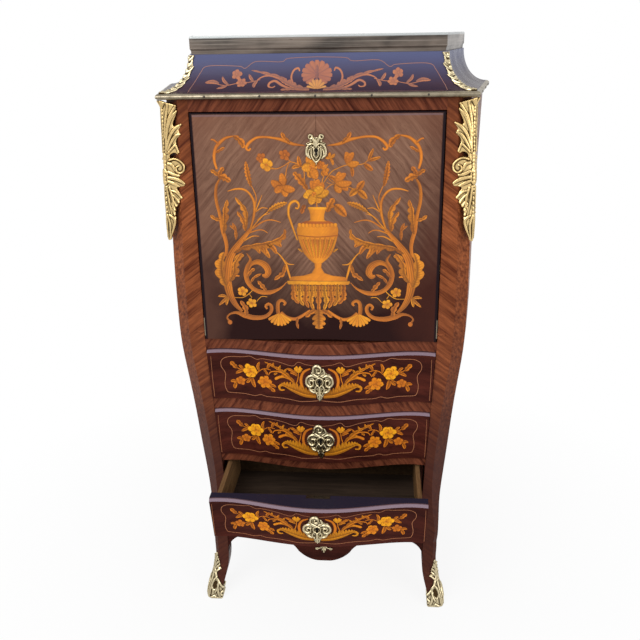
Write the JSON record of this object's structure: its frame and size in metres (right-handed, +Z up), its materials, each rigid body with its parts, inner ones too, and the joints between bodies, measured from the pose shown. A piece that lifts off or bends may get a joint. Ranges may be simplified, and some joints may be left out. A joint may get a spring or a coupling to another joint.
{
  "type": "fall-front writing desk",
  "caption": "Bombé fall-front escritoire with serpentine drawers, coved cornice, marquetry fronts, gilt corner mounts and a fitted writing interior.",
  "frame": {"origin": "on the floor at the middle of the footprint, with the lowest drawer drawn out as at rest", "axes": "+X to the right seen from the front, +Y to the back, +Z up"},
  "size_m": [0.7878, 0.5132, 1.4],
  "materials": {
    "kingwood": "polished veneer",
    "marquetry_veneer": "polished marquetry",
    "interior_veneer": "waxed veneer",
    "oak": "plain oak",
    "gilt_bronze": "gilt, chased",
    "brass": "polished, tarnished",
    "iron": "filed",
    "leather": "matt, tooled"
  },
  "bodies": {
    "carcass": {"apron": "kingwood", "apron_mount": "gilt_bronze", "back_panel": "oak", "brass_moulding": "brass", "carcass_top": "kingwood", "corner_mount_left": "gilt_bronze", "corner_mount_right": "gilt_bronze", "cornice_back": "oak", "cove_front": "marquetry_veneer", "cove_mounts": "gilt_bronze", "cove_sides": "marquetry_veneer", "drawer_guides": "oak", "dust_boards": "oak", "fall_pivots": "iron", "fall_rail": "kingwood", "frieze_rail": "kingwood", "front_left_post": "kingwood", "front_right_post": "kingwood", "left_side": "kingwood", "lower_drawer_rail": "kingwood", "pigeonhole_case": "interior_veneer", "pigeonhole_dividers": "interior_veneer", "rear_left_post": "kingwood", "rear_right_post": "kingwood", "right_side": "kingwood", "sabots": "gilt_bronze", "stay_guides": "brass", "top_band": "brass", "top_slab": "kingwood", "upper_drawer_rail": "kingwood", "writing_bed": "interior_veneer"},
    "drawer_1": {"drawer_1_front": "marquetry_veneer", "drawer_1_box": "oak", "drawer_1_bottom": "oak", "drawer_1_escutcheon": "gilt_bronze", "drawer_1_lock": "iron"},
    "drawer_2": {"drawer_2_front": "marquetry_veneer", "drawer_2_box": "oak", "drawer_2_bottom": "oak", "drawer_2_escutcheon": "gilt_bronze", "drawer_2_lock": "iron"},
    "drawer_3": {"drawer_3_front": "marquetry_veneer", "drawer_3_box": "oak", "drawer_3_bottom": "oak", "drawer_3_escutcheon": "gilt_bronze", "drawer_3_lock": "iron"},
    "drawer_1_bolt_body": {"drawer_1_bolt": "iron"},
    "drawer_2_bolt_body": {"drawer_2_bolt": "iron"},
    "drawer_3_bolt_body": {"drawer_3_bolt": "iron"},
    "fall_front": {"fall_panel": "marquetry_veneer", "writing_leather": "leather", "fall_escutcheon": "gilt_bronze", "fall_lock": "iron", "quadrant_stays": "brass", "pivot_plates": "brass"},
    "fall_bolt_body": {"fall_bolt": "iron"},
    "small_drawer_left_body": {"small_drawer_left": "interior_veneer", "small_knob_left": "brass"},
    "small_drawer_right_body": {"small_drawer_right": "interior_veneer", "small_knob_right": "brass"}
  },
  "joints": [
    {"name": "fall_hinge", "type": "hinge", "parent": "carcass", "child": "fall_front", "pos_m": [0, -0.08243, 0.762], "axis": [1, 0, 0], "range_deg": [0, 90]},
    {"name": "fall_bolt_slide", "type": "slide", "parent": "fall_front", "child": "fall_bolt_body", "axis": [0, 0, 1], "range_m": [0, 0.008]},
    {"name": "drawer_1_slide", "type": "slide", "parent": "carcass", "child": "drawer_1", "axis": [0, -1, 0], "range_m": [0, 0.22]},
    {"name": "drawer_2_slide", "type": "slide", "parent": "carcass", "child": "drawer_2", "axis": [0, -1, 0], "range_m": [0, 0.21]},
    {"name": "drawer_3_slide", "type": "slide", "parent": "carcass", "child": "drawer_3", "axis": [0, -1, 0], "range_m": [-0.164, 0.036]},
    {"name": "drawer_1_bolt_slide", "type": "slide", "parent": "drawer_1", "child": "drawer_1_bolt_body", "axis": [0, 0, 1], "range_m": [0, 0.008]},
    {"name": "drawer_2_bolt_slide", "type": "slide", "parent": "drawer_2", "child": "drawer_2_bolt_body", "axis": [0, 0, 1], "range_m": [0, 0.008]},
    {"name": "drawer_3_bolt_slide", "type": "slide", "parent": "drawer_3", "child": "drawer_3_bolt_body", "axis": [0, 0, 1], "range_m": [0, 0.008]},
    {"name": "small_drawer_left_slide", "type": "slide", "parent": "carcass", "child": "small_drawer_left_body", "axis": [0, -1, 0], "range_m": [0, 0.055]},
    {"name": "small_drawer_right_slide", "type": "slide", "parent": "carcass", "child": "small_drawer_right_body", "axis": [0, -1, 0], "range_m": [0, 0.055]}
  ]
}
